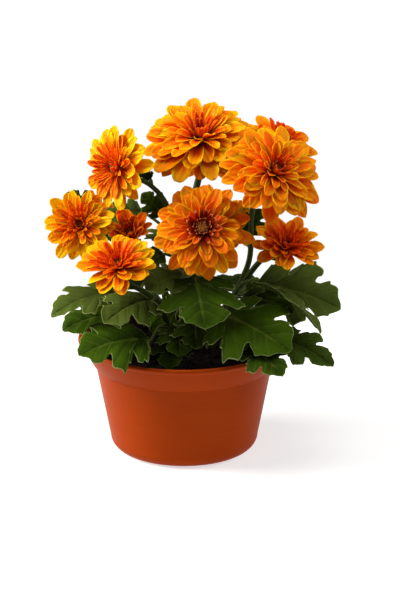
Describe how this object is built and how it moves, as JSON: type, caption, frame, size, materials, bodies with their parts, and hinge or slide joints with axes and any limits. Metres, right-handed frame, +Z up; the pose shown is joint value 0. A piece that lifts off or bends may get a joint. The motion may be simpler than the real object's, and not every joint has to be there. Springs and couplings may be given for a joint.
{
  "type": "pot chrysanthemum",
  "caption": "Compact pot chrysanthemum: orange daisy-like blooms on branched leafy stems, rooted in a low, round, banded plastic bulb pan that stands flat.",
  "frame": {"origin": "centre of the pot's foot, on the surface that it stands on", "axes": "+Z up along the pot's axis, -Y towards the side seen in the picture, +X to that viewer's right"},
  "size_m": [0.2087, 0.1987, 0.2426],
  "materials": {
    "pot_plastic": "satin terracotta-coloured plastic",
    "potting_mix": null,
    "greenery": null,
    "ray_florets": null,
    "disc_florets": null
  },
  "bodies": {
    "root": {"pot": "pot_plastic", "soil": "potting_mix", "shoot_centre": "greenery", "shoot_left": "greenery", "shoot_right": "greenery", "shoot_back": "greenery", "top_petals": "ray_florets", "top_eye": "disc_florets", "centre_petals": "ray_florets", "centre_eye": "disc_florets", "right_high_petals": "ray_florets", "right_high_eye": "disc_florets", "left_high_petals": "ray_florets", "left_high_eye": "disc_florets", "left_petals": "ray_florets", "left_eye": "disc_florets", "left_young_petals": "ray_florets", "left_young_eye": "disc_florets", "left_low_petals": "ray_florets", "left_low_eye": "disc_florets", "right_low_petals": "ray_florets", "right_low_eye": "disc_florets", "right_back_petals": "ray_florets", "right_back_eye": "disc_florets", "back_high_petals": "ray_florets", "back_high_eye": "disc_florets", "back_low_petals": "ray_florets", "back_low_eye": "disc_florets", "back_left_petals": "ray_florets", "back_left_eye": "disc_florets"}
  },
  "joints": []
}
